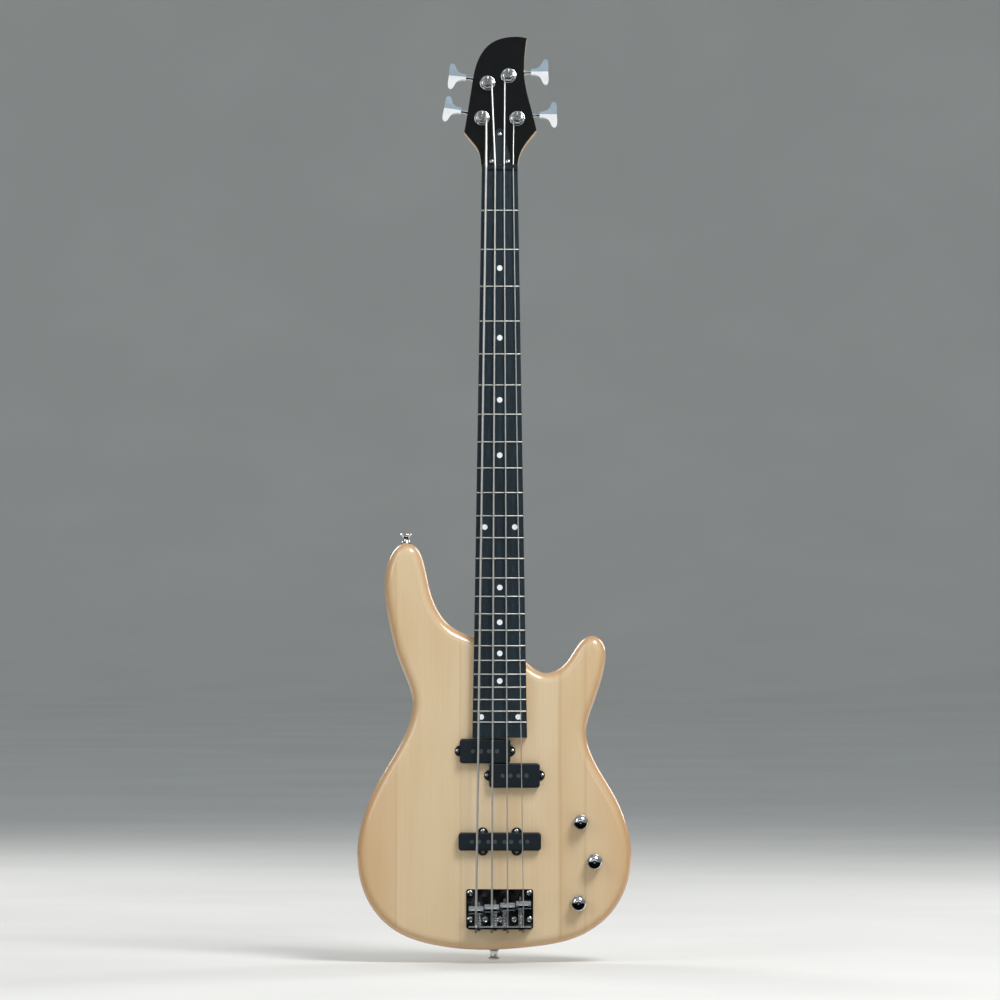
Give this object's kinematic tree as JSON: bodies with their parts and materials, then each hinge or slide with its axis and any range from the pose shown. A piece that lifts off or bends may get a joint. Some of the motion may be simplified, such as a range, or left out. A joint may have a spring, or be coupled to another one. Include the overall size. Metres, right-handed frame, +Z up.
{
  "type": "electric bass guitar",
  "caption": "Solid-body electric bass guitar with bolt-on neck, split and straight pickups, geared tuners, adjustable bridge saddles and turning knobs.",
  "frame": {"origin": "on the centre line at the nut, on the plane of the body's front, where a hanger takes the neck below the headstock", "axes": "+Z up along the neck to the headstock, +X to the treble side, +Y to the back, so the front faces -Y"},
  "size_m": [0.3216, 0.0623, 1.0835],
  "materials": {
    "body_wood": "pale natural wood under clear satin-gloss lacquer, edges slightly warmer",
    "maple": "natural maple, satin",
    "dark_board": "near-black dark board, satin",
    "black_lacquer": "gloss black face",
    "black_plastic": "satin black",
    "chrome": "polished chrome plate",
    "string_steel": "round-wound nickel steel",
    "steel": "nickel-plated steel",
    "white_dots": "white inlay",
    "copper": "enamelled copper wire",
    "foam": "soft foam",
    "felt": "black felt",
    "insulation": "insulated leads",
    "zinc": "zinc-plated cans"
  },
  "bodies": {
    "bass": {"body": "body_wood", "bridge_and_strap_screws": "steel", "bridge_pickup_cover": "black_plastic", "bridge_plate": "chrome", "control_cover": "black_plastic", "control_nuts": "chrome", "fingerboard": "dark_board", "frets": "steel", "headstock_veneer": "black_lacquer", "intonation_screws": "steel", "intonation_spring_a": "steel", "intonation_spring_d": "steel", "intonation_spring_e": "steel", "intonation_spring_g": "steel", "jack_plate": "chrome", "neck": "maple", "neck_ferrules": "chrome", "neck_screws": "steel", "nut": "black_plastic", "output_jack": "chrome", "pickup_bobbins": "black_plastic", "pickup_coils": "copper", "pickup_foam": "foam", "pickup_poles": "steel", "pickup_screws": "steel", "position_dots": "white_dots", "potentiometers": "zinc", "small_screws": "steel", "split_pickup_cover_high": "black_plastic", "split_pickup_cover_low": "black_plastic", "strap_buttons": "chrome", "strap_felts": "felt", "string_a": "string_steel", "string_d": "string_steel", "string_e": "string_steel", "string_g": "string_steel", "truss_rod": "steel", "truss_rod_cover": "black_plastic", "tuner_bushings": "chrome", "tuner_housings": "chrome", "wiring": "insulation"},
    "key_e": {"tuner_key_e": "chrome"},
    "post_e": {"string_post_e": "chrome"},
    "saddle_slide_e": {"saddle_e": "chrome", "saddle_height_screws_e": "steel"},
    "key_a": {"tuner_key_a": "chrome"},
    "post_a": {"string_post_a": "chrome"},
    "saddle_slide_a": {"saddle_a": "chrome", "saddle_height_screws_a": "steel"},
    "key_d": {"tuner_key_d": "chrome"},
    "post_d": {"string_post_d": "chrome"},
    "saddle_slide_d": {"saddle_d": "chrome", "saddle_height_screws_d": "steel"},
    "key_g": {"tuner_key_g": "chrome"},
    "post_g": {"string_post_g": "chrome"},
    "saddle_slide_g": {"saddle_g": "chrome", "saddle_height_screws_g": "steel"},
    "knob_neck_volume": {"neck_volume_knob": "chrome"},
    "knob_bridge_volume": {"bridge_volume_knob": "chrome"},
    "knob_tone": {"tone_knob": "chrome"}
  },
  "joints": [
    {"name": "turn_key_e", "type": "hinge", "parent": "bass", "child": "key_e", "pos_m": [-0.01932, 0.02771, 0.06574], "axis": [-0.9877, 0.0272, 0.1541], "continuous": true},
    {"name": "turn_post_e", "type": "hinge", "parent": "bass", "child": "post_e", "pos_m": [-0.02073, 0.00568, 0.0606], "axis": [0, -0.9848, 0.1736], "continuous": true},
    {"name": "intonation_e", "type": "slide", "parent": "bass", "child": "saddle_slide_e", "axis": [0, 0, 1], "range_m": [-0.002, 0.006], "deforming": ["intonation_spring_e"]},
    {"name": "turn_key_a", "type": "hinge", "parent": "bass", "child": "key_a", "pos_m": [-0.01343, 0.03501, 0.10715], "axis": [-0.9962, 0.0151, 0.0858], "continuous": true},
    {"name": "turn_post_a", "type": "hinge", "parent": "bass", "child": "post_a", "pos_m": [-0.01421, 0.01297, 0.10194], "axis": [0, -0.9848, 0.1736], "continuous": true},
    {"name": "intonation_a", "type": "slide", "parent": "bass", "child": "saddle_slide_a", "axis": [0, 0, 1], "range_m": [-0.002, 0.006], "deforming": ["intonation_spring_a"]},
    {"name": "turn_key_d", "type": "hinge", "parent": "bass", "child": "key_d", "pos_m": [0.01049, 0.03654, 0.1158], "axis": [1, 0, 0], "continuous": true},
    {"name": "turn_post_d", "type": "hinge", "parent": "bass", "child": "post_d", "pos_m": [0.01049, 0.01449, 0.11055], "axis": [0, -0.9848, 0.1736], "continuous": true},
    {"name": "intonation_d", "type": "slide", "parent": "bass", "child": "saddle_slide_d", "axis": [0, 0, 1], "range_m": [-0.002, 0.006], "deforming": ["intonation_spring_d"]},
    {"name": "turn_key_g", "type": "hinge", "parent": "bass", "child": "key_g", "pos_m": [0.02056, 0.02762, 0.06522], "axis": [1, 0, 0], "continuous": true},
    {"name": "turn_post_g", "type": "hinge", "parent": "bass", "child": "post_g", "pos_m": [0.02056, 0.00558, 0.05997], "axis": [0, -0.9848, 0.1736], "continuous": true},
    {"name": "intonation_g", "type": "slide", "parent": "bass", "child": "saddle_slide_g", "axis": [0, 0, 1], "range_m": [-0.002, 0.006], "deforming": ["intonation_spring_g"]},
    {"name": "turn_neck_volume", "type": "hinge", "parent": "bass", "child": "knob_neck_volume", "pos_m": [0.09476, 0, -0.76484], "axis": [0, -1, 0], "range_deg": [-150, 150]},
    {"name": "turn_bridge_volume", "type": "hinge", "parent": "bass", "child": "knob_bridge_volume", "pos_m": [0.11087, 0, -0.81111], "axis": [0, -1, 0], "range_deg": [-150, 150]},
    {"name": "turn_tone", "type": "hinge", "parent": "bass", "child": "knob_tone", "pos_m": [0.09218, 0, -0.85929], "axis": [0, -1, 0], "range_deg": [-150, 150]}
  ],
  "couplings": [
    {"joint": "turn_post_e", "follows": "turn_key_e", "ratio": 0.05},
    {"joint": "turn_post_a", "follows": "turn_key_a", "ratio": 0.05},
    {"joint": "turn_post_d", "follows": "turn_key_d", "ratio": 0.05},
    {"joint": "turn_post_g", "follows": "turn_key_g", "ratio": 0.05}
  ]
}
